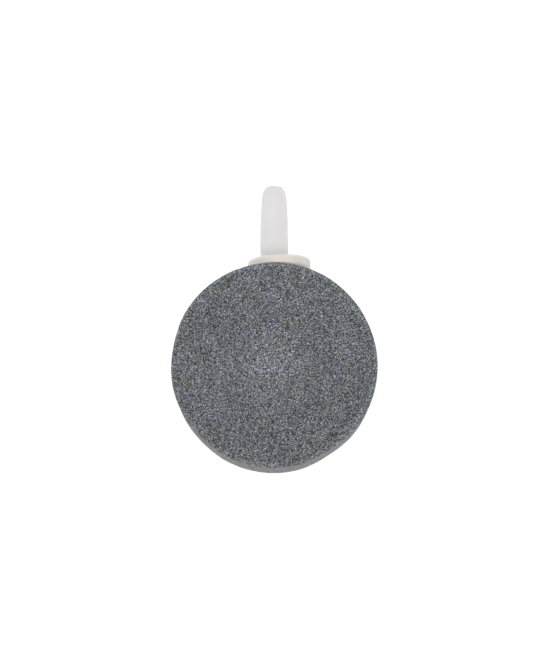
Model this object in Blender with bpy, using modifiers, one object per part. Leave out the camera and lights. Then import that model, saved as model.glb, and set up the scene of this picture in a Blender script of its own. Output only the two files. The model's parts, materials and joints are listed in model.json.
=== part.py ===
"""Round disc air stone for a pond or an aquarium. Metres, +Z up.

The stone lies on its sealed back: the origin is the centre of the back face, +Z points out of the
porous face and +Y runs along the hose tail. A dense dish makes the back and the side. A porous
plate closes it, glued in a groove of the dish's ledge. Air comes in through the hose tail, whose
spigot passes through a collar and a port in the dish's wall, where it is glued on the inside.
"""

import math

import bmesh
import bpy

# The disc
DISC_R = 0.0200  # outer radius of the stone
DISC_T = 0.0130  # thickness, from the back to the porous face
FLOOR_T = 0.0024  # floor of the dish
WALL_T = 0.0030  # side wall of the dish, below its ledge
LIP_T = 0.0004  # thin lip of the dish, round the plate
LIP_ROUND = 0.0002  # rounding of the lip's outer edge
BACK_ROUND = 0.0008  # rounding of the dish's back edge
PLATE_T = 0.0025  # porous plate
PLATE_EDGE = 0.0002  # bevel of the plate's edges
GROOVE_W = 0.0011  # glue groove in the ledge
GROOVE_DEPTH = 0.0006

# The hose tail, from its tip to the end of its spigot
BORE_R = 0.00105
TAIL_L = 0.01435  # from the shoulder to the tip
TAIL_R = 0.00274  # largest radius, a little above the shoulder
TAIL_SWELL_AT = 0.0024  # height of the largest radius above the shoulder
NECK_DROP = 0.00004  # how much thinner the tail is at its shoulder
TAPER_DROP = 0.00022  # how much thinner it is where the nose begins
TAPER_POWER = 2.5
NOSE_L = 0.0035  # rounded nose
TIP_R = 0.00130  # outer radius of the flat ring round the bore's mouth
SPIGOT_R = 0.0017
SPIGOT_REACH = 0.0016  # how far the spigot stands into the chamber

# The collar
COLLAR_R = 0.0061
COLLAR_RISE = 0.00174  # its top, above the rim of the disc
COLLAR_ROUND = 0.0005
COLLAR_SEAT_DEPTH = 0.0001  # shallow seat in its top, that the tail's shoulder presses into
COLLAR_SHIFT = 0.00095  # its rim is off the tail's axis, towards +X
COLLAR_TILT = math.radians(2.1)  # and leans towards -X

# The ring of glue round the spigot, inside the dish
TAIL_BOND_T = 0.0009  # its thickness at the dish's wall
TAIL_BOND_TOP_T = 0.0004  # and at its inner end
TAIL_BOND_L = 0.0008

FIT_GAP = 0.0003  # clearance between pieces that touch

DISC_STEPS = 120  # facets of the disc and of what is turned with it
TAIL_STEPS = 48
COLLAR_STEPS = 72
ROUND_STEPS = 4  # facets of a rounded edge

CHAMBER_R = DISC_R - WALL_T
POCKET_R = DISC_R - LIP_T
PLATE_Z = DISC_T - PLATE_T
LEDGE_Z = PLATE_Z - FIT_GAP
GROOVE_R = (CHAMBER_R + POCKET_R) / 2
AXIS_Z = DISC_T / 2
PORT_R = SPIGOT_R + FIT_GAP
COLLAR_TOP = DISC_R + COLLAR_RISE
COLLAR_SLOPE = math.tan(COLLAR_TILT)
COLLAR_SEAT_R = COLLAR_SHIFT + TAIL_R + FIT_GAP
SHOULDER_Y = COLLAR_TOP - COLLAR_SEAT_DEPTH + (TAIL_R - COLLAR_SHIFT) * COLLAR_SLOPE + FIT_GAP
TIP_Y = SHOULDER_Y + TAIL_L
SPIGOT_END_Y = CHAMBER_R - SPIGOT_REACH


def clear_scene():
    for thing in list(bpy.data.objects):
        bpy.data.objects.remove(thing, do_unlink=True)


def collection(name):
    made = bpy.data.collections.new(name)
    bpy.context.scene.collection.children.link(made)
    return made


def material(name, colour, roughness, transmission=0.0):
    """A Principled material."""
    made = bpy.data.materials.new(name)
    made.use_nodes = True
    shader = made.node_tree.nodes["Principled BSDF"]
    shader.inputs["Base Color"].default_value = (*colour, 1.0)
    shader.inputs["Roughness"].default_value = roughness
    shader.inputs["Metallic"].default_value = 0.0
    shader.inputs["Transmission Weight"].default_value = transmission
    return made


def arc(centre_r, centre_z, radius, start, end, steps=ROUND_STEPS):
    """Points (r, z) along an arc, with its angles in degrees from the direction of growing r."""
    angles = [math.radians(start + (end - start) * i / steps) for i in range(steps + 1)]
    return [(centre_r + radius * math.cos(a), centre_z + radius * math.sin(a)) for a in angles]


def turned(name, profile, steps, group, ring=False):
    """A solid turned about Z from a profile of (r, z) that runs down its outer side.

    A ring's profile is a closed loop. Any other starts and ends on the axis.
    """
    mesh = bpy.data.meshes.new(name)
    count = len(profile)
    edges = [(i, i + 1) for i in range(count - 1)]
    if ring:
        edges.append((count - 1, 0))
    mesh.from_pydata([(r, 0.0, z) for r, z in profile], edges, [])
    thing = bpy.data.objects.new(name, mesh)
    group.objects.link(thing)
    screw = thing.modifiers.new("turn", "SCREW")
    screw.axis = "Z"
    screw.angle = 2 * math.pi
    screw.steps = steps
    screw.render_steps = steps
    screw.use_merge_vertices = True
    screw.merge_threshold = 0.000001
    return thing


def cylinder(name, radius, low, high, steps, group):
    """A cylinder about Z between two heights."""
    mesh = bpy.data.meshes.new(name)
    shape = bmesh.new()
    bmesh.ops.create_cone(
        shape, cap_ends=True, segments=steps, radius1=radius, radius2=radius, depth=high - low
    )
    bmesh.ops.translate(shape, vec=(0.0, 0.0, (low + high) / 2), verts=shape.verts)
    shape.to_mesh(mesh)
    shape.free()
    thing = bpy.data.objects.new(name, mesh)
    group.objects.link(thing)
    return thing


def lay_along_y(thing, x=0.0, y=0.0, tilt=0.0):
    """Turns a shape made about Z to lie along +Y at the height of the port."""
    thing.rotation_euler = (-math.pi / 2, 0.0, tilt)
    thing.location = (x, y, AXIS_Z)


def as_cutter(thing):
    thing.display_type = "WIRE"
    thing.hide_render = True
    return thing


def boolean(thing, other, operation):
    cut = thing.modifiers.new(operation.lower() + " " + other.name, "BOOLEAN")
    cut.operation = operation
    cut.solver = "EXACT"
    cut.object = other


def finish(thing, surface):
    """Gives the piece its material and shades its round sides smooth."""
    mesh = thing.data
    mesh.materials.append(surface)
    mesh.shade_smooth()
    smooth = thing.modifiers.get("turn")
    if smooth:
        smooth.use_smooth_shade = True


def base_dish(parts, cutters):
    """Dense dish: flat back, side wall, grooved ledge and thin lip, with a port through the wall."""
    groove_in = GROOVE_R - GROOVE_W / 2
    groove_out = GROOVE_R + GROOVE_W / 2
    profile = [
        (0.0, FLOOR_T),
        (CHAMBER_R, FLOOR_T),
        (CHAMBER_R, LEDGE_Z),
        (groove_in, LEDGE_Z),
        (groove_in, LEDGE_Z - GROOVE_DEPTH),
        (groove_out, LEDGE_Z - GROOVE_DEPTH),
        (groove_out, LEDGE_Z),
        (POCKET_R, LEDGE_Z),
        (POCKET_R, DISC_T),
        *arc(DISC_R - LIP_ROUND, DISC_T - LIP_ROUND, LIP_ROUND, 90, 0),
        *arc(DISC_R - BACK_ROUND, BACK_ROUND, BACK_ROUND, 0, -90),
        (0.0, 0.0),
    ]
    dish = turned("base_dish", profile, DISC_STEPS, parts)
    port = as_cutter(cylinder("port_cutter", PORT_R, 0.0, 2 * WALL_T, TAIL_STEPS, cutters))
    lay_along_y(port, y=CHAMBER_R - WALL_T / 2)
    boolean(dish, port, "DIFFERENCE")
    finish(dish, material("dense_grey_stone", (0.23, 0.23, 0.24), 0.75))


def face_plate(parts):
    """Porous plate that the bubbles leave through."""
    radius = POCKET_R - FIT_GAP
    profile = [
        (0.0, DISC_T),
        (radius - PLATE_EDGE, DISC_T),
        (radius, DISC_T - PLATE_EDGE),
        (radius, PLATE_Z + PLATE_EDGE),
        (radius - PLATE_EDGE, PLATE_Z),
        (0.0, PLATE_Z),
    ]
    plate = turned("face_plate", profile, DISC_STEPS, parts)
    finish(plate, material("porous_grey_grit", (0.145, 0.155, 0.165), 0.95))


def face_bond(parts):
    """Ring of glue in the ledge's groove, which holds the plate."""
    inner = GROOVE_R - GROOVE_W / 2 + FIT_GAP
    outer = GROOVE_R + GROOVE_W / 2 - FIT_GAP
    top = PLATE_Z - FIT_GAP
    bottom = LEDGE_Z - GROOVE_DEPTH + FIT_GAP
    profile = [(inner, top), (outer, top), (outer, bottom), (inner, bottom)]
    bond = turned("face_bond", profile, DISC_STEPS, parts, ring=True)
    finish(bond, material("grey_glue", (0.35, 0.35, 0.34), 0.5))


def tail_radius(height):
    """Outer radius of the tail at a height above its shoulder, below the nose."""
    if height < TAIL_SWELL_AT:
        share = 1 - height / TAIL_SWELL_AT
        return TAIL_R - NECK_DROP * share**2
    share = (height - TAIL_SWELL_AT) / (TAIL_L - NOSE_L - TAIL_SWELL_AT)
    return TAIL_R - TAPER_DROP * share**TAPER_POWER


def hose_tail(parts):
    """Moulded hose tail: rounded nose, slight taper, shoulder and spigot, with a bore right through."""
    nose_r = TAIL_R - TAPER_DROP
    nose_y = TIP_Y - NOSE_L
    nose_steps = 8
    body_steps = 8
    nose = []
    for i in range(nose_steps + 1):
        angle = math.pi / 2 * (1 - i / nose_steps)
        nose.append((TIP_R + (nose_r - TIP_R) * math.cos(angle), nose_y + NOSE_L * math.sin(angle)))
    body = []
    for i in range(1, body_steps + 1):
        height = (TAIL_L - NOSE_L) * (1 - i / body_steps)
        body.append((tail_radius(height), SHOULDER_Y + height))
    profile = [
        (BORE_R, TIP_Y),
        *nose,
        *body,
        (SPIGOT_R, SHOULDER_Y),
        (SPIGOT_R, SPIGOT_END_Y),
        (BORE_R, SPIGOT_END_Y),
    ]
    tail = turned("hose_tail", profile, TAIL_STEPS, parts, ring=True)
    lay_along_y(tail)
    finish(tail, material("milky_plastic", (0.75, 0.75, 0.75), 0.35, transmission=0.3))


def collar(parts, cutters):
    """Round collar between the tail's shoulder and the disc. Its top has a shallow seat for the
    shoulder, and its underside is cut to the disc's rim."""
    depth = COLLAR_RISE + DISC_R - math.sqrt(DISC_R**2 - (COLLAR_R + COLLAR_SHIFT) ** 2) + WALL_T
    profile = [
        (0.0, -COLLAR_SEAT_DEPTH),
        (COLLAR_SEAT_R, -COLLAR_SEAT_DEPTH),
        (COLLAR_SEAT_R, 0.0),
        *arc(COLLAR_R - COLLAR_ROUND, -COLLAR_ROUND, COLLAR_ROUND, 90, 0),
        (COLLAR_R, -depth),
        (0.0, -depth),
    ]
    ring = turned("collar", profile, COLLAR_STEPS, parts)
    lay_along_y(ring, x=COLLAR_SHIFT, y=COLLAR_TOP, tilt=COLLAR_TILT)
    rim = cylinder(
        "rim_cutter", DISC_R + FIT_GAP, -COLLAR_R, DISC_T + COLLAR_R, 2 * DISC_STEPS, cutters
    )
    boolean(ring, as_cutter(rim), "DIFFERENCE")
    hole = as_cutter(
        cylinder("collar_hole_cutter", PORT_R, -depth, depth, TAIL_STEPS, cutters)
    )
    lay_along_y(hole, y=COLLAR_TOP)
    boolean(ring, hole, "DIFFERENCE")
    finish(ring, material("cream_rubber", (0.72, 0.68, 0.64), 0.6))


def tail_bond(parts, cutters):
    """Ring of glue round the spigot, against the inside of the dish's wall."""
    inner = SPIGOT_R + FIT_GAP
    foot = CHAMBER_R
    top = CHAMBER_R - FIT_GAP - TAIL_BOND_L
    profile = [
        (inner, foot),
        (inner + TAIL_BOND_T, foot),
        (inner + TAIL_BOND_TOP_T, top),
        (inner, top),
    ]
    bond = turned("tail_bond", profile, TAIL_STEPS, parts, ring=True)
    lay_along_y(bond)
    inside = cylinder(
        "chamber_cutter", CHAMBER_R - FIT_GAP, FLOOR_T, LEDGE_Z, 2 * DISC_STEPS, cutters
    )
    boolean(bond, as_cutter(inside), "INTERSECT")
    finish(bond, material("clear_glue", (0.6, 0.58, 0.5), 0.4))


clear_scene()
parts = collection("air_stone")
cutters = collection("cutters")
base_dish(parts, cutters)
face_plate(parts)
face_bond(parts)
hose_tail(parts)
collar(parts, cutters)
tail_bond(parts, cutters)
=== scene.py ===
"""Round disc air stone, lying on its back with its hose tail along +Y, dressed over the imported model.

The object is put together in the order that it is made in: the dense dish, the porous plate glued into
it, the collar and the hose tail in its side, and the two rings of glue inside. The table that it lies
on, the lights and the camera come last. Lengths are in metres.
"""

import json
import math

import bpy
import numpy as np
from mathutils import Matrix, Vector


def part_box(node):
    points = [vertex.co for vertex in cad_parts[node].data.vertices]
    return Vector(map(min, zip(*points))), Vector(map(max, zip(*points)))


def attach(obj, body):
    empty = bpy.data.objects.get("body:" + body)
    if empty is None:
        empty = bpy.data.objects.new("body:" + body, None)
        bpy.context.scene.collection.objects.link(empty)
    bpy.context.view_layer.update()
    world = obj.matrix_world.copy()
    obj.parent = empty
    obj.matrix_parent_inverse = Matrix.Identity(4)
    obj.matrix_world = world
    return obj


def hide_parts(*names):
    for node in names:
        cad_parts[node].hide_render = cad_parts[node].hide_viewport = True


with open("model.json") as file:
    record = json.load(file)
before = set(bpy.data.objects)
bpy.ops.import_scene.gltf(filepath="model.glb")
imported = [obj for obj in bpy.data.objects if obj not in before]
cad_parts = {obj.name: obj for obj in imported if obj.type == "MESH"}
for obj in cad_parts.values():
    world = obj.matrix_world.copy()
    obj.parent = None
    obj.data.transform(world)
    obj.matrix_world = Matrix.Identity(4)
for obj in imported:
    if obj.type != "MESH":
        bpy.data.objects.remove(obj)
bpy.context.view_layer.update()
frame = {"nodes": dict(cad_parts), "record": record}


# ---------------------------------------------------------------- the dense dish
# The back and the side of the stone: one pressing of fine grey grit, fired dense so that no air leaves
# through it. It has a flat back, a rounded back edge, and a thin lip that the plate lies inside.

dish_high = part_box("base_dish")[1]
PLATE_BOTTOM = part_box("face_plate")[0].z
DISC_R = dish_high.x
DISC_T = dish_high.z
DISH_FLOOR = 0.0024
DISH_WALL = 0.0030
CHAMBER_R = DISC_R - DISH_WALL
LEDGE_Z = PLATE_BOTTOM - 0.0003
LIP_IN_R = DISC_R - 0.00022
LIP_TOP = DISC_T - 0.00012
LIP_ROUND = 0.00016
LIP_EXTRA = 0.00032
BACK_ROUND = 0.0008
POLE_R = 0.0006


def lattice(cells, salt):
    """A fixed random number from 0 to 1 for each cell, given by whole numbers.

    The cell's numbers are each multiplied by a large prime and added, and the sum's bits are then
    folded over themselves twice so that neighbours have nothing in common.
    """
    primes = np.array([73856093, 19349663, 83492791], np.int64)[: cells.shape[-1]]
    bits = ((cells.astype(np.int64) * primes).sum(-1) + salt * 15485863).astype(np.uint64)
    for fold, prime in ((33, 0xFF51AFD7ED558CCD), (29, 0xC4CEB9FE1A85EC53)):
        bits = (bits ^ (bits >> np.uint64(fold))) * np.uint64(prime)
    return (bits >> np.uint64(40)).astype(np.float64) / 2**24


def unevenness(points, pitch, salt):
    """Smooth noise from -1 to 1: random values on a square or cubic lattice of this pitch, blended
    between its corners by 3t^2 - 2t^3 along each axis."""
    at = points / pitch
    low = np.floor(at).astype(np.int64)
    share = at - low
    share = share * share * (3 - 2 * share)
    total = np.zeros(points.shape[:-1])
    for corner in np.ndindex(*(2,) * points.shape[-1]):
        corner = np.array(corner)
        weight = np.prod(np.where(corner == 1, share, 1 - share), axis=-1)
        total += weight * lattice(low + corner, salt)
    return 2 * total - 1


def nearest_grain(points, pitch, salt):
    """The grain that each point of the XY plane belongs to, one grain to each square of this pitch.

    A grain's centre lies anywhere in its square. The answer is the vector from the nearest centre, in
    pitches, and that grain's square.
    """
    at = points[..., :2] / pitch
    square = np.floor(at).astype(np.int64)
    best = np.full(at.shape[:-1], np.inf)
    offset = np.zeros_like(at)
    owner = np.zeros_like(square)
    for step in np.ndindex(3, 3):
        near = square + np.array(step) - 1
        centre = near + np.stack([lattice(near, salt), lattice(near, salt + 1)], -1)
        away = at - centre
        far = (away**2).sum(-1)
        closer = far < best
        best = np.where(closer, far, best)
        offset = np.where(closer[..., None], away, offset)
        owner = np.where(closer[..., None], near, owner)
    return offset, owner


def quads_of(rows, columns, close_rows=False, close_columns=False):
    """The squares of a grid of points that is numbered row by row. Their normals point to the side
    that (step to the next row) x (step to the next column) points to."""
    row = np.arange(rows if close_rows else rows - 1)
    column = np.arange(columns if close_columns else columns - 1)
    i, j = (a.ravel() for a in np.meshgrid(row, column, indexing="ij"))
    i2, j2 = (i + 1) % rows, (j + 1) % columns
    return np.stack([i * columns + j, i2 * columns + j, i2 * columns + j2, i * columns + j2], -1)


def fan(ring, hub, outward=True):
    """Triangles from a closed ring of points to a hub point, which close a pole."""
    after = np.roll(ring, -1)
    hubs = np.full(len(ring), hub)
    return np.stack([hubs, ring, after] if outward else [hubs, after, ring], -1)


def piece(name, points, *faces, smooth=True):
    """A mesh object at the origin from an array of points and arrays of squares or triangles."""
    mesh = bpy.data.meshes.new(name)
    mesh.from_pydata(points.reshape(-1, 3).tolist(), [], [f for part in faces for f in part.tolist()])
    mesh.polygons.foreach_set("use_smooth", np.full(len(mesh.polygons), smooth))
    mesh.validate()
    made = bpy.data.objects.new(name, mesh)
    bpy.context.scene.collection.objects.link(made)
    return made


def along(corners, spacing):
    """Points (r, z) on straight runs between corners, about this far apart, each corner kept once."""
    runs = []
    for start, end in zip(corners[:-1], corners[1:]):
        start, end = np.array(start), np.array(end)
        count = max(1, round(float(np.linalg.norm(end - start)) / spacing))
        runs.append(start + (end - start) * (np.arange(count) / count)[:, None])
    return np.concatenate([*runs, [corners[-1]]])


def rounding(centre_r, centre_z, radius, start, end, steps):
    """Points (r, z) on an arc, angles in degrees from the direction of growing r."""
    angle = np.radians(np.linspace(start, end, steps + 1))
    return np.stack([centre_r + radius * np.cos(angle), centre_z + radius * np.sin(angle)], -1)


def turned(profile, steps):
    """Rows of points about Z: the profile's (r, z) at each of the evenly spaced angles."""
    angle = np.linspace(0, 2 * math.pi, steps, endpoint=False)
    r, z = profile[:, 0], profile[:, 1]
    return np.stack(
        [np.outer(np.cos(angle), r), np.outer(np.sin(angle), r), np.tile(z, (steps, 1))], -1
    )


def roundness(angle):
    """Radius of the disc at an angle: a circle with four shallow flats, given in degrees and
    millimetres. Each takes off depth * exp(-(angle from its middle / width)^2)."""
    radius = np.full_like(angle, DISC_R)
    for middle, width, depth in ((30, 34, 0.17), (169, 15, 0.25), (227, 12, 0.11), (303, 15, 0.35)):
        away = np.abs((angle - math.radians(middle) + math.pi) % (2 * math.pi) - math.pi)
        radius -= 0.001 * depth * np.exp(-((away / math.radians(width)) ** 2))
    return radius


def out_of_round(points):
    """Points of a true disc, drawn in along the radius to the disc's real outline."""
    factor = roundness(np.arctan2(points[..., 1], points[..., 0])) / DISC_R
    moved = points.copy()
    moved[..., :2] *= factor[..., None]
    return moved


def lip_spread(angle):
    """How much wider than its least the lip is at an angle: smooth noise along the rim, times a share
    that grows with minus the sine of the angle, so that only the side away from the hose tail is uneven."""
    rim = DISC_R * np.stack([np.cos(angle), np.sin(angle)], -1)
    ragged = 0.7 * unevenness(rim, 0.0021, 14) + 0.5 * unevenness(rim, 0.0007, 15)
    away_from_tail = np.clip(-1.8 * np.sin(angle) - 0.1, 0, 1)
    return LIP_EXTRA * np.clip(0.7 + ragged, 0, 1.6) * away_from_tail


def dish_surface():
    """The dish as a profile turned about Z, run anticlockwise from the centre of the back: out along
    the back, up the side, over the lip, down to the ledge and the chamber, and in along its floor.
    Each point of the outside is then moved along the profile's own normal by the pressing's relief,
    and the lip's inner wall inwards to where the plate's uneven edge lies."""
    fine, coarse, plain, steps = 0.00022, 0.0004, 0.0030, 600
    back = along([(POLE_R, 0.0), (DISC_R - BACK_ROUND, 0.0)], coarse)
    back_edge = rounding(DISC_R - BACK_ROUND, BACK_ROUND, BACK_ROUND, -90, 0, 8)
    side = along([(DISC_R, BACK_ROUND), (DISC_R, LIP_TOP - LIP_ROUND)], fine)
    lip = rounding(DISC_R - LIP_ROUND, LIP_TOP - LIP_ROUND, LIP_ROUND, 0, 90, 5)
    inside = along(
        [
            (LIP_IN_R, LIP_TOP),
            (LIP_IN_R, LEDGE_Z),
            (CHAMBER_R, LEDGE_Z),
            (CHAMBER_R, DISH_FLOOR),
            (POLE_R, DISH_FLOOR),
        ],
        plain,
    )
    outside = np.concatenate([back[:-1], back_edge[:-1], side[:-1], lip])
    profile = np.concatenate([outside, inside])
    grid = turned(profile, steps)
    tangent = np.gradient(profile, axis=0)
    tangent /= np.linalg.norm(tangent, axis=1, keepdims=True) + 1e-12
    normal = turned(np.stack([tangent[:, 1], -tangent[:, 0]], -1), steps)
    shown = np.zeros(len(profile))
    shown[: len(outside)] = 1.0
    relief = 0.000022 * unevenness(grid, 0.0021, 11)
    relief += 0.000012 * unevenness(grid, 0.0006, 12)
    pits = unevenness(grid, 0.00075, 13)
    relief -= 0.00008 * np.clip((pits - 0.62) / 0.3, 0, 1) ** 1.5
    relief = relief * shown - 0.00002 * shown
    grid = out_of_round(grid + normal * relief[..., None])
    radius = np.linalg.norm(grid[..., :2], axis=-1)
    inner_wall = (np.abs(profile[:, 0] - LIP_IN_R) < 1e-6) & (profile[:, 1] > LEDGE_Z - 1e-6)
    spread = lip_spread(np.arctan2(grid[..., 1], grid[..., 0])) * inner_wall
    grid[..., :2] *= (1 - spread / radius)[..., None]
    grid[..., :2] *= np.minimum(1, DISC_R / np.maximum(radius, 1e-9))[..., None]
    grid[..., 2] = np.maximum(grid[..., 2], 0.0)
    return grid


grid = dish_surface()
steps, count = grid.shape[:2]
hubs = np.array([[0.0, 0.0, 0.0], [0.0, 0.0, DISH_FLOOR]])
points = np.concatenate([grid.reshape(-1, 3), hubs])
first, last = np.arange(steps) * count, np.arange(steps) * count + count - 1
dish = piece(
    "dish",
    points,
    quads_of(steps, count, close_rows=True),
    fan(first, steps * count, outward=False),
    fan(last, steps * count + 1),
)


def node(tree, kind, inputs=None, **settings):
    """Adds a shader node. Each of its inputs gets a value, or a link if the value is a socket."""
    made = tree.nodes.new("ShaderNode" + kind)
    for name, value in settings.items():
        setattr(made, name, value)
    for name, value in (inputs or {}).items():
        if isinstance(value, bpy.types.NodeSocket):
            tree.links.new(value, made.inputs[name])
        else:
            made.inputs[name].default_value = value
    return made


def surface(name):
    """A new Principled material: its tree, its shader and the piece's own coordinates in metres."""
    made = bpy.data.materials.new(name)
    made.use_nodes = True
    tree = made.node_tree
    return made, tree, tree.nodes["Principled BSDF"], node(tree, "TexCoord").outputs["Object"]


def noise(tree, where, size, detail=2.0, roughness=0.5):
    """Noise from 0 to 1 whose largest lumps are about this far apart."""
    made = node(
        tree, "TexNoise", {"Vector": where, "Scale": 1 / size, "Detail": detail, "Roughness": roughness}
    )
    return made.outputs["Fac"]


def ramp(tree, share, stops, smooth=False):
    """Colours by share: stops are (position, grey or colour)."""
    made = node(tree, "ValToRGB", {"Fac": share})
    band = made.color_ramp
    band.interpolation = "EASE" if smooth else "LINEAR"
    while len(band.elements) < len(stops):
        band.elements.new(0.5)
    for element, (position, colour) in zip(band.elements, stops):
        colour = (colour,) * 3 if isinstance(colour, float) else colour
        element.position = position
        element.color = (*colour, 1.0)
    return made.outputs["Color"]


def blend(tree, share, one, other, mode="MIX"):
    """One colour mixed with another."""
    made = node(tree, "Mix", data_type="RGBA", blend_type=mode)
    for socket, value in ((0, share), (6, one), (7, other)):
        if isinstance(value, bpy.types.NodeSocket):
            tree.links.new(value, made.inputs[socket])
        elif socket == 0:
            made.inputs[socket].default_value = value
        else:
            made.inputs[socket].default_value = (*value, 1.0)
    return made.outputs[2]


def bump(tree, height, distance, strength=1.0, under=None):
    """Normals bent by a height, this far from lowest to highest, on top of any bump under it."""
    inputs = {"Height": height, "Distance": distance, "Strength": strength}
    if under:
        inputs["Normal"] = under
    return node(tree, "Bump", inputs).outputs["Normal"]


def dense_stone():
    """Fine pale grey grit, pressed smooth: faint mottling, small dark pits whose darkness is painted shade, a
    few pale specks, and painted shade that makes it a little darker towards its back."""
    made, tree, shader, where = surface("dense_stone")
    mottle = noise(tree, where, 0.0035, 3.0, 0.6)
    base = ramp(tree, mottle, [(0.3, (0.158, 0.161, 0.168)), (0.7, (0.186, 0.188, 0.194))])
    speck = noise(tree, where, 0.00028, 2.0, 0.7)
    base = blend(tree, 1.0, base, ramp(tree, speck, [(0.30, 0.80), (0.5, 1.0), (0.70, 1.22)]), "MULTIPLY")
    grains = node(tree, "TexVoronoi", {"Vector": where, "Scale": 1 / 0.00020}).outputs["Color"]
    each = node(tree, "SeparateColor", {"Color": grains}).outputs[0]
    base = blend(tree, 1.0, base, ramp(tree, each, [(0.0, 0.34), (0.5, 0.90), (1.0, 1.78)]), "MULTIPLY")
    # The pits are dents in the bump, and darkening them there is painted shade.
    pits = noise(tree, where, 0.0009, 1.0)
    base = blend(tree, 1.0, base, ramp(tree, pits, [(0.24, 0.55), (0.33, 1.0)]), "MULTIPLY")
    blotch = noise(tree, where, 0.0018, 3.0, 0.6)
    base = blend(tree, 1.0, base, ramp(tree, blotch, [(0.36, 0.84), (0.64, 1.16)]), "MULTIPLY")
    # Painted shade: the dish is darkened towards its back, where it meets the table.
    height = node(tree, "SeparateXYZ", {"Vector": where}).outputs["Z"]
    up = node(tree, "MapRange", {"Value": height, "From Min": 0.0, "From Max": 0.0024}).outputs[0]
    base = blend(tree, 1.0, base, ramp(tree, up, [(0.0, 0.76), (1.0, 1.0)]), "MULTIPLY")
    tree.links.new(base, shader.inputs["Base Color"])
    dull = ramp(tree, speck, [(0.3, 0.80), (0.7, 0.62)])
    tree.links.new(dull, shader.inputs["Roughness"])
    fine = bump(tree, speck, 0.00006, 0.5)
    tree.links.new(bump(tree, pits, 0.00010, 0.25, fine), shader.inputs["Normal"])
    return made


dish.data.materials.append(dense_stone())
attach(dish, "root")
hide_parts("base_dish")


# ---------------------------------------------------------------- the porous plate
# The face that the bubbles leave through: grains of grey grit a fifth of a millimetre across, bonded
# only where they touch, so that it is open all through. It is glued into the dish, flush with its lip.

PLATE_R = DISC_R - 0.00020
PLATE_SQUARES = 290
GRAIN = 0.00020
EDGE_DROP = 0.00010
EDGE_WIDTH = 0.00030
PALE_MIDDLE = 0.0052
PALE_RIM = 0.0009


def disc_points(squares, radius):
    """A square grid drawn out to a disc: each square ring of the grid becomes a circle, with its
    points spread evenly, so that all the squares keep about the same size."""
    line = np.linspace(-1, 1, squares + 1)
    u, v = np.meshgrid(line, line, indexing="ij")
    wide = np.abs(u) > np.abs(v)
    r = np.where(wide, u, v)
    ratio = np.where(wide, v, u) / np.where(r == 0, 1, r)
    angle = np.where(wide, math.pi / 4 * ratio, math.pi / 2 - math.pi / 4 * ratio)
    return radius * np.stack([r * np.cos(angle), r * np.sin(angle)], -1)


def grit_depth(points):
    """How far the gritty face lies below its highest grains.

    Each grain is a small tilted facet at a height of its own, rounded off towards its neighbours, and
    some grains are missing. A finer grit and a slow unevenness of the pressing are added.
    """
    warp = np.stack([unevenness(points, 0.0004, 21), unevenness(points, 0.0004, 22)], -1)
    offset, owner = nearest_grain(points + 0.00008 * warp, GRAIN, 23)
    height = lattice(owner, 25)
    slope = np.stack([lattice(owner, 26), lattice(owner, 27)], -1) - 0.5
    depth = 0.00007 * height - 0.00011 * (slope * offset).sum(-1) + 0.00006 * (offset**2).sum(-1)
    depth += 0.00009 * (lattice(owner, 28) > 0.9)
    depth += 0.000012 * unevenness(points, 0.00019, 29)
    depth += 0.00002 * unevenness(points, 0.0045, 30)
    return depth + 0.00004


def rim_ring(squares):
    """Numbers of the points on the edge of the square grid, anticlockwise."""
    side = squares + 1
    i = np.arange(squares)
    return np.concatenate([i * side, squares * side + i, (squares - i) * side + squares, squares - i])


flat = out_of_round(disc_points(PLATE_SQUARES, PLATE_R))
flat *= 1 - (lip_spread(np.arctan2(flat[..., 1], flat[..., 0])) / PLATE_R)[..., None]
depth = grit_depth(flat)
from_edge = PLATE_R - np.linalg.norm(disc_points(PLATE_SQUARES, PLATE_R), axis=-1)
depth += EDGE_DROP * np.clip(1 - from_edge / EDGE_WIDTH, 0, 1) ** 2
top = np.concatenate([flat, (DISC_T - np.maximum(depth, 0.0))[..., None]], -1)
ring = rim_ring(PLATE_SQUARES)
edge = top.reshape(-1, 3)[ring]
levels = np.linspace(0, 1, 5)[1:, None]
foot_of_edge = edge * [1, 1, 0] + [0, 0, PLATE_BOTTOM]
wall = np.stack([edge + (foot_of_edge - edge) * level for level in levels])
under = len(top.reshape(-1, 3)) + np.arange(len(levels) * len(ring)).reshape(len(levels), -1)
rings = np.concatenate([ring[None], under])
following = np.roll(rings, -1, axis=1)
sides = np.stack([rings[:-1], rings[1:], following[1:], following[:-1]], -1).reshape(-1, 4)
points = np.concatenate([top.reshape(-1, 3), wall.reshape(-1, 3), [[0.0, 0.0, PLATE_BOTTOM]]])
plate = piece(
    "plate",
    points,
    quads_of(PLATE_SQUARES + 1, PLATE_SQUARES + 1),
    sides,
    fan(rings[-1], len(points) - 1, outward=False),
    smooth=False,
)


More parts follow.
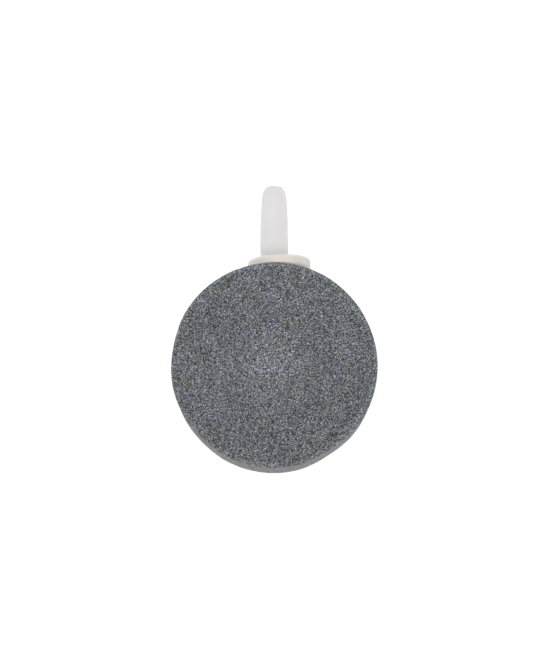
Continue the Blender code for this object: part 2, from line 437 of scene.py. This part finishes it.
def paleness_painted_light_and_stains(mesh):
    """Two numbers at each point: how much paler the face is there, and how brown a stain.

    The face is paler in the middle, falling off with distance from the centre, within a millimetre of
    its rim, and very slightly towards the hose tail, where the paleness is painted light as if lit from
    that side. A stain is a round spot whose distance is made uneven by noise, so that its outline is
    ragged.
    """
    at = np.empty(len(mesh.vertices) * 3, np.float32)
    mesh.vertices.foreach_get("co", at)
    at = at.reshape(-1, 3)[:, :2].astype(float)
    radius = np.linalg.norm(at, axis=1)
    angle = np.arctan2(at[:, 1], at[:, 0])
    from_rim = roundness(angle) - lip_spread(angle) - radius
    middle = 0.6 * np.exp(-((radius / PALE_MIDDLE) ** 2))
    pale = np.maximum(middle, np.clip(1 - from_rim / PALE_RIM, 0, 1))
    # Painted light: the face is made a little paler towards the hose tail, as if lit more from that side.
    pale += 0.06 * (1 + at[:, 1] / DISC_R)
    ragged = 0.0009 * unevenness(at, 0.0008, 31) + 0.0005 * unevenness(at, 0.0003, 32)
    stain = np.zeros(len(at))
    for x, y, size in (
        (-0.0087, 0.0163, 0.0009),
        (0.0072, 0.0155, 0.0008),
        (0.0112, -0.0136, 0.0006),
        (0.0041, -0.0181, 0.0008),
        (-0.0181, -0.0032, 0.0008),
        (-0.0158, 0.0096, 0.0005),
    ):
        away = np.hypot(at[:, 0] - x, at[:, 1] - y) + ragged
        stain = np.maximum(stain, np.clip(1.2 - away / size, 0, 1))
    for name, values in (("pale", pale), ("stain", stain)):
        mesh.attributes.new(name, "FLOAT", "POINT").data.foreach_set("value", values.astype(np.float32))


paleness_painted_light_and_stains(plate.data)


def grit():
    """Grains of many greys with pores between them painted dark as shade, tinted a little blue or olive in
    patches. The greys follow each grain's own random number, and painted shade darkens them into the pores
    away from each centre and darkens each fine grain towards its edge."""
    made, tree, shader, where = surface("porous_grit")
    shake = node(tree, "TexNoise", {"Vector": where, "Scale": 1 / 0.0003, "Detail": 1.0}).outputs["Color"]
    shake = node(tree, "VectorMath", {0: shake, 1: (0.5, 0.5, 0.5)}, operation="SUBTRACT").outputs[0]
    shaken = node(
        tree, "VectorMath", {0: shake, 1: (0.00016,) * 3, 2: where}, operation="MULTIPLY_ADD"
    ).outputs[0]
    grains = node(tree, "TexVoronoi", {"Vector": shaken, "Scale": 1 / 0.00015})
    each = node(tree, "SeparateColor", {"Color": grains.outputs["Color"]})
    tone, gleam = each.outputs[0], each.outputs[1]
    base = ramp(
        tree,
        tone,
        [
            (0.00, (0.008, 0.009, 0.010)),
            (0.20, (0.060, 0.067, 0.075)),
            (0.55, (0.194, 0.212, 0.232)),
            (0.85, (0.388, 0.418, 0.449)),
            (1.00, (0.670, 0.710, 0.745)),
        ],
    )
    # Painted shade: each fine grain is darker towards its edge, where its bump falls away.
    fines = node(tree, "TexVoronoi", {"Vector": where, "Scale": 1 / 0.00016}).outputs["Distance"]
    base = blend(tree, 1.0, base, ramp(tree, fines, [(0.15, 1.12), (0.75, 0.70)]), "MULTIPLY")
    # Painted shade: the pores between the grains are darkened away from each grain's centre.
    pore_shade = ramp(tree, grains.outputs["Distance"], [(0.45, 1.0), (0.80, 0.35)], smooth=True)
    base = blend(tree, 1.0, base, pore_shade, "MULTIPLY")
    patch = noise(tree, where, 0.0022, 3.0, 0.6)
    tint = ramp(tree, patch, [(0.34, (1.03, 1.04, 0.94)), (0.5, (1.0, 1.0, 1.0)), (0.66, (0.98, 0.97, 1.07))])
    base = blend(tree, 1.0, base, tint, "MULTIPLY")
    cloud = noise(tree, where, 0.0060, 3.0, 0.6)
    base = blend(tree, 1.0, base, ramp(tree, cloud, [(0.3, 0.93), (0.7, 1.07)]), "MULTIPLY")
    # The pale attribute holds painted light towards the hose tail, besides the paleness in the middle and at
    # the rim.
    pale = node(tree, "Attribute", attribute_name="pale").outputs["Fac"]
    lifted = blend(tree, 1.0, base, (1.48, 1.48, 1.45), "MULTIPLY")
    base = blend(tree, pale, base, lifted)
    stain = node(tree, "Attribute", attribute_name="stain").outputs["Fac"]
    spots = [(0.0, 1.0), (0.5, (1.02, 0.98, 0.80)), (0.8, (0.86, 0.80, 0.64)), (1.0, (0.55, 0.50, 0.41))]
    base = blend(tree, 1.0, base, ramp(tree, stain, spots), "MULTIPLY")
    tree.links.new(base, shader.inputs["Base Color"])
    tree.links.new(ramp(tree, gleam, [(0.0, 0.95), (0.9, 0.8), (1.0, 0.35)]), shader.inputs["Roughness"])
    falloff = node(tree, "Math", {0: grains.outputs["Distance"], 1: -0.9}, operation="MULTIPLY").outputs[0]
    height = node(tree, "Math", {0: tone, 1: 0.8, 2: falloff}, operation="MULTIPLY_ADD").outputs[0]
    coarse = bump(tree, height, 0.00009, 0.7)
    tree.links.new(bump(tree, fines, -0.00003, 0.5, coarse), shader.inputs["Normal"])
    return made


plate.data.materials.append(grit())
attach(plate, "root")
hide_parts("face_plate")


# ---------------------------------------------------------------- the collar
# A soft cream disc with a rounded rim, pushed over the tail's spigot and pressed against the side of
# the stone, whose curve its underside takes. Its rim is off the tail's axis and leans a little.

collar_low, collar_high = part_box("collar")
stop = next(m for m in frame["record"]["mounts"] if m["name"] == "hose_stop")
AXIS_Z = (collar_low.z + collar_high.z) / 2
SOFT_BULGE = 0.00008
COLLAR_R = (collar_high.z - collar_low.z) / 2 + SOFT_BULGE
COLLAR_X = stop["pos_m"][0]
COLLAR_TOP = stop["pos_m"][1]
COLLAR_LEAN = math.atan2(-stop["axis"][0], stop["axis"][1])
COLLAR_ROUND = 0.0007
COLLAR_HOLE = 0.0020
FOOT_ROUND = 0.00028
FOOT_EXTRA = 0.00070
SEAT_GAP = 0.00001


def collar_place(rho, turn, height):
    """The collar's own radius, angle and height above its top, placed in the model."""
    lean_c, lean_s = math.cos(COLLAR_LEAN), math.sin(COLLAR_LEAN)
    across = rho * np.cos(turn)
    return np.stack(
        [
            COLLAR_X + across * lean_c - height * lean_s,
            COLLAR_TOP + across * lean_s + height * lean_c,
            AXIS_Z + rho * np.sin(turn),
        ],
        -1,
    )


def seat_height(rho, turn):
    """Height at which a line down the collar meets the side of the disc: the larger root h of
    (a - h s)^2 + (b + h c)^2 = R^2, where (a, b) is the line's point at the collar's top. R is the
    disc's largest radius in the first of three rounds, and its real radius where the line last met it
    in the other two."""
    top = collar_place(rho, turn, 0.0 * rho)
    a, b = top[..., 0], top[..., 1]
    c, s = math.cos(COLLAR_LEAN), math.sin(COLLAR_LEAN)
    half = b * c - a * s
    radius = np.full_like(a, DISC_R)
    for _ in range(3):
        height = -half + np.sqrt(half**2 - (a**2 + b**2 - (radius + SEAT_GAP) ** 2))
        radius = roundness(np.arctan2(b + height * c, a - height * s))
    return height


def collar_surface(steps):
    """Rows round the collar's axis. Each runs anticlockwise: out along the curved underside, up the
    side, over the rounded rim, in along the top and down the wall of the hole. The foot's edge is
    rounded, and more so about 35 degrees round from +X, falling off as exp(-(angle / width)^2)."""
    turn = np.linspace(0, 2 * math.pi, steps, endpoint=False)[:, None]
    from_worn = (turn - math.radians(35)) / math.radians(27)
    foot_round = FOOT_ROUND + FOOT_EXTRA * np.exp(-(from_worn**2))
    rows = []
    for rho in np.linspace(np.full_like(turn, COLLAR_HOLE), COLLAR_R - foot_round, 9):
        rows.append((rho, seat_height(rho, turn)))
    foot = seat_height(COLLAR_R - foot_round, turn)
    for angle in np.radians(np.linspace(0, 90, 6))[1:-1]:
        rho = COLLAR_R - foot_round + foot_round * math.sin(angle)
        rows.append((rho, foot + foot_round * (1 - math.cos(angle))))
    for share in np.linspace(0, 1, 9):
        low, high = foot + foot_round, -COLLAR_ROUND
        rows.append((np.full_like(turn, COLLAR_R), low + (high - low) * share))
    for angle in np.radians(np.linspace(0, 90, 9))[1:]:
        rho = COLLAR_R - COLLAR_ROUND + COLLAR_ROUND * math.cos(angle)
        height = -COLLAR_ROUND + COLLAR_ROUND * math.sin(angle)
        rows.append((np.full_like(turn, rho), np.full_like(turn, height)))
    for rho in np.linspace(COLLAR_R - COLLAR_ROUND, COLLAR_HOLE, 12)[1:]:
        rows.append((np.full_like(turn, rho), np.zeros_like(turn)))
    rho = np.concatenate([r for r, _ in rows], 1)
    height = np.concatenate([h for _, h in rows], 1)
    grid = collar_place(rho, turn, height)
    lumps = 0.00003 * unevenness(grid, 0.0028, 41) + 0.00001 * unevenness(grid, 0.0009, 42)
    rim = np.clip((rho - COLLAR_HOLE - 0.001) / 0.002, 0, 1) * np.clip((height - foot) / 0.0003, 0, 1)
    outward = grid - np.array([COLLAR_X, COLLAR_TOP - 0.001, AXIS_Z])
    outward /= np.linalg.norm(outward, axis=-1, keepdims=True)
    return grid + outward * ((lumps - 0.00003) * rim)[..., None]


grid = collar_surface(240)
steps, count = grid.shape[:2]
collar = piece("cream_collar", grid, quads_of(steps, count, close_rows=True, close_columns=True)[:, ::-1])


def cream_rubber():
    """Soft cream rubber: faintly cloudy, satin, with the skin's fine dimples. It is paler and less
    yellow at the end of the collar that lies towards -X, which is painted light as if lit from that side."""
    made, tree, shader, where = surface("cream_rubber")
    cloud = noise(tree, where, 0.0030, 2.0)
    base = ramp(tree, cloud, [(0.3, (0.690, 0.640, 0.590)), (0.7, (0.760, 0.712, 0.668))])
    dust = noise(tree, where, 0.0004, 3.0, 0.7)
    base = blend(tree, 1.0, base, ramp(tree, dust, [(0.30, 0.93), (0.50, 1.0)]), "MULTIPLY")
    # Painted light: the -X end of the collar is made paler and less yellow, as if lit from that side.
    across = node(tree, "SeparateXYZ", {"Vector": where}).outputs["X"]
    side = node(tree, "MapRange", {"Value": across, "From Min": -0.0048, "From Max": -0.0026}).outputs[0]
    base = blend(tree, 1.0, base, ramp(tree, side, [(0.0, (1.04, 1.10, 1.16)), (1.0, 1.0)]), "MULTIPLY")
    tree.links.new(base, shader.inputs["Base Color"])
    tree.links.new(ramp(tree, dust, [(0.3, 0.62), (0.7, 0.48)]), shader.inputs["Roughness"])
    shader.inputs["Subsurface Weight"].default_value = 0.15
    shader.inputs["Subsurface Radius"].default_value = (1.0, 0.8, 0.6)
    shader.inputs["Subsurface Scale"].default_value = 0.0006
    tree.links.new(bump(tree, dust, 0.00002, 0.4), shader.inputs["Normal"])
    return made


collar.data.materials.append(cream_rubber())
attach(collar, "root")
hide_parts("collar")


# ---------------------------------------------------------------- the hose tail
# The stem that the air hose is pushed over: milky plastic, moulded round a straight bore, with a
# rounded nose, a slight taper and a shoulder on the collar. Its thin spigot goes on into the dish.

tail_low, tail_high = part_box("hose_tail")
TAIL_TIP = tail_high.y
TAIL_R = tail_high.x
TAIL_L = 0.01425
TAIL_SWELL = 0.0023
NECK_DROP = 0.00004
TAPER_DROP = 0.00022
TAIL_BASE = TAIL_TIP - TAIL_L
SEAT_DEPTH = 0.00020
TAIL_SEAT = COLLAR_TOP - SEAT_DEPTH
SPIGOT_END = tail_low.y
SPIGOT_R = 0.0017
BORE_R = 0.00105
TIP_R = 0.00130
NOSE_L = 0.0035
NOSE_R = TAIL_R - TAPER_DROP
MOUTH_ROUND = 0.0001


def tail_profile():
    """The tail's outline (r, height along Y), anticlockwise from the spigot's end: up the outside, over
    the nose and back down the bore. The body's radius falls with the power 2.5 of the height above
    its swell, the nose is a quarter of an ellipse, and the bore's mouth is rounded."""
    swell = TAIL_BASE + TAIL_SWELL
    nose_y = TAIL_TIP - NOSE_L
    y = np.linspace(TAIL_SEAT, nose_y, 40)
    body = np.where(
        y < swell,
        TAIL_R - NECK_DROP * ((swell - y) / (swell - TAIL_BASE)) ** 2,
        TAIL_R - TAPER_DROP * (np.clip(y - swell, 0, None) / (nose_y - swell)) ** 2.5,
    )
    angle = np.linspace(0, math.pi / 2, 25)[1:]
    nose = np.stack([TIP_R + (NOSE_R - TIP_R) * np.cos(angle), nose_y + NOSE_L * np.sin(angle)], -1)
    mouth, spacing = MOUTH_ROUND, 0.0006
    spigot = along([(BORE_R + mouth, SPIGOT_END), (SPIGOT_R, SPIGOT_END), (SPIGOT_R, TAIL_SEAT)], spacing)
    lip = rounding(TIP_R - mouth, TAIL_TIP - mouth, mouth, 90, 180, 4)
    bore = along([(BORE_R, TAIL_TIP - 2 * mouth), (BORE_R, SPIGOT_END + mouth)], spacing)
    return np.concatenate([spigot, np.stack([body, y], -1), nose, lip, bore])


def laid_along_y(grid):
    """What was turned about Z, laid to run along +Y at the height of the port."""
    return np.stack([grid[..., 0], grid[..., 2], AXIS_Z - grid[..., 1]], -1)


grid = laid_along_y(turned(tail_profile(), 128))
steps, count = grid.shape[:2]
tail = piece("milky_tail", grid, quads_of(steps, count, close_rows=True, close_columns=True))


def milky_plastic():
    """Unpigmented plastic: light goes a little way in, and the surface has a soft moulded sheen. It
    is a little greyer at its foot and round its nose: painted shade, beside the collar and on the nose's
    curve."""
    made, tree, shader, where = surface("milky_plastic")
    cloud = noise(tree, where, 0.0040, 2.0)
    base = ramp(tree, cloud, [(0.3, (0.865, 0.845, 0.855)), (0.7, (0.89, 0.87, 0.88))])
    height = node(tree, "SeparateXYZ", {"Vector": where}).outputs["Y"]
    up = node(tree, "MapRange", {"Value": height, "From Min": TAIL_BASE, "From Max": TAIL_TIP}).outputs[0]
    # Painted shade: the tail is greyed at its foot beside the collar and round its nose.
    painted_shade_at_ends = [(0.02, (0.89, 0.90, 0.89)), (0.20, 1.0), (0.76, 1.0), (0.92, 0.955), (1.0, 0.90)]
    base = blend(tree, 1.0, base, ramp(tree, up, painted_shade_at_ends, smooth=True), "MULTIPLY")
    tree.links.new(base, shader.inputs["Base Color"])
    fine = noise(tree, where, 0.00035, 3.0, 0.6)
    tree.links.new(ramp(tree, fine, [(0.3, 0.55), (0.7, 0.45)]), shader.inputs["Roughness"])
    shader.inputs["IOR"].default_value = 1.49
    shader.inputs["Transmission Weight"].default_value = 0.25
    shader.inputs["Subsurface Weight"].default_value = 0.6
    shader.inputs["Subsurface Radius"].default_value = (1.0, 1.0, 1.0)
    shader.inputs["Subsurface Scale"].default_value = 0.0015
    tree.links.new(bump(tree, fine, 0.00001, 0.4), shader.inputs["Normal"])
    return made


tail.data.materials.append(milky_plastic())
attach(tail, "root")
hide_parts("hose_tail")


# ---------------------------------------------------------------- the two rings of glue
# Inside the stone, where they are not seen: one holds the plate in the groove of the dish's ledge,
# the other holds the spigot in the port. Both are the solids of the model, with the glue's finish.


def glue():
    """Set glue, yellowish grey with small bubbles."""
    made, tree, shader, where = surface("glue")
    bubbles = node(tree, "TexVoronoi", {"Vector": where, "Scale": 1 / 0.0006}).outputs["Distance"]
    base = ramp(tree, bubbles, [(0.1, (0.55, 0.54, 0.48)), (0.5, (0.44, 0.43, 0.39))])
    tree.links.new(base, shader.inputs["Base Color"])
    shader.inputs["Roughness"].default_value = 0.35
    tree.links.new(bump(tree, bubbles, 0.00004, 0.5), shader.inputs["Normal"])
    return made


set_glue = glue()
for name in ("face_bond", "tail_bond"):
    held = frame["nodes"][name].data
    held.materials.clear()
    held.materials.append(set_glue)


# ---------------------------------------------------------------- the table, the lights and the camera
# A plain white table that is lit from below, so that most of what is seen of it is its own light. The
# rest is soft and even, with one softbox high above and beyond the tip of the hose tail.

TABLE_HALF = 1.5
TABLE_TOP = -0.00002
TABLE_GLOW = 0.92
table_mesh = bpy.data.meshes.new("table")
corners = [(-1, -1), (1, -1), (1, 1), (-1, 1)]
table_mesh.from_pydata([(x * TABLE_HALF, y * TABLE_HALF, TABLE_TOP) for x, y in corners], [], [(0, 1, 2, 3)])
table = bpy.data.objects.new("table", table_mesh)
bpy.context.scene.collection.objects.link(table)
paint, tree, shader, _ = surface("table_white")
shader.inputs["Base Color"].default_value = (0.18, 0.18, 0.18, 1.0)
shader.inputs["Roughness"].default_value = 0.9
shader.inputs["Emission Color"].default_value = (1.0, 1.0, 1.0, 1.0)
shader.inputs["Emission Strength"].default_value = TABLE_GLOW
table_mesh.materials.append(paint)

room = bpy.data.worlds.new("room")
room.use_nodes = True
sky = room.node_tree
upward = node(sky, "SeparateXYZ", {"Vector": node(sky, "TexCoord").outputs["Generated"]}).outputs["Z"]
sky.links.new(ramp(sky, upward, [(0.0, 0.66), (0.7, 0.92)]), sky.nodes["Background"].inputs["Color"])
sky.nodes["Background"].inputs["Strength"].default_value = 1.0
bpy.context.scene.world = room


def softbox(name, place, target, size, power):
    """A square area light at a place, facing a target."""
    lamp = bpy.data.lights.new(name, "AREA")
    lamp.size = size
    lamp.energy = power
    made = bpy.data.objects.new(name, lamp)
    made.location = place
    made.rotation_euler = (Vector(target) - Vector(place)).to_track_quat("-Z", "Y").to_euler()
    bpy.context.scene.collection.objects.link(made)
    return made


softbox("key", place=(-0.01, 0.13, 0.24), target=(0.0, 0.01, 0.0), size=0.12, power=0.12)

scene = bpy.context.scene
scene.view_settings.view_transform = "Standard"

CAMERA_DISTANCE = 0.350
CAMERA_LEAN = math.radians(8.1)
CAMERA_LENS = 99.32
CAMERA_SHIFT = (0.0012, 0.0518)
camera_data = bpy.data.cameras.new("camera")
camera_data.lens = CAMERA_LENS
camera_data.sensor_width = 36.0
camera_data.shift_x, camera_data.shift_y = CAMERA_SHIFT
camera = bpy.data.objects.new("camera", camera_data)
camera.location = (
    0.0,
    -CAMERA_DISTANCE * math.sin(CAMERA_LEAN),
    DISC_T + CAMERA_DISTANCE * math.cos(CAMERA_LEAN),
)
camera.rotation_euler = (CAMERA_LEAN, 0.0, 0.0)
scene.collection.objects.link(camera)
scene.camera = camera
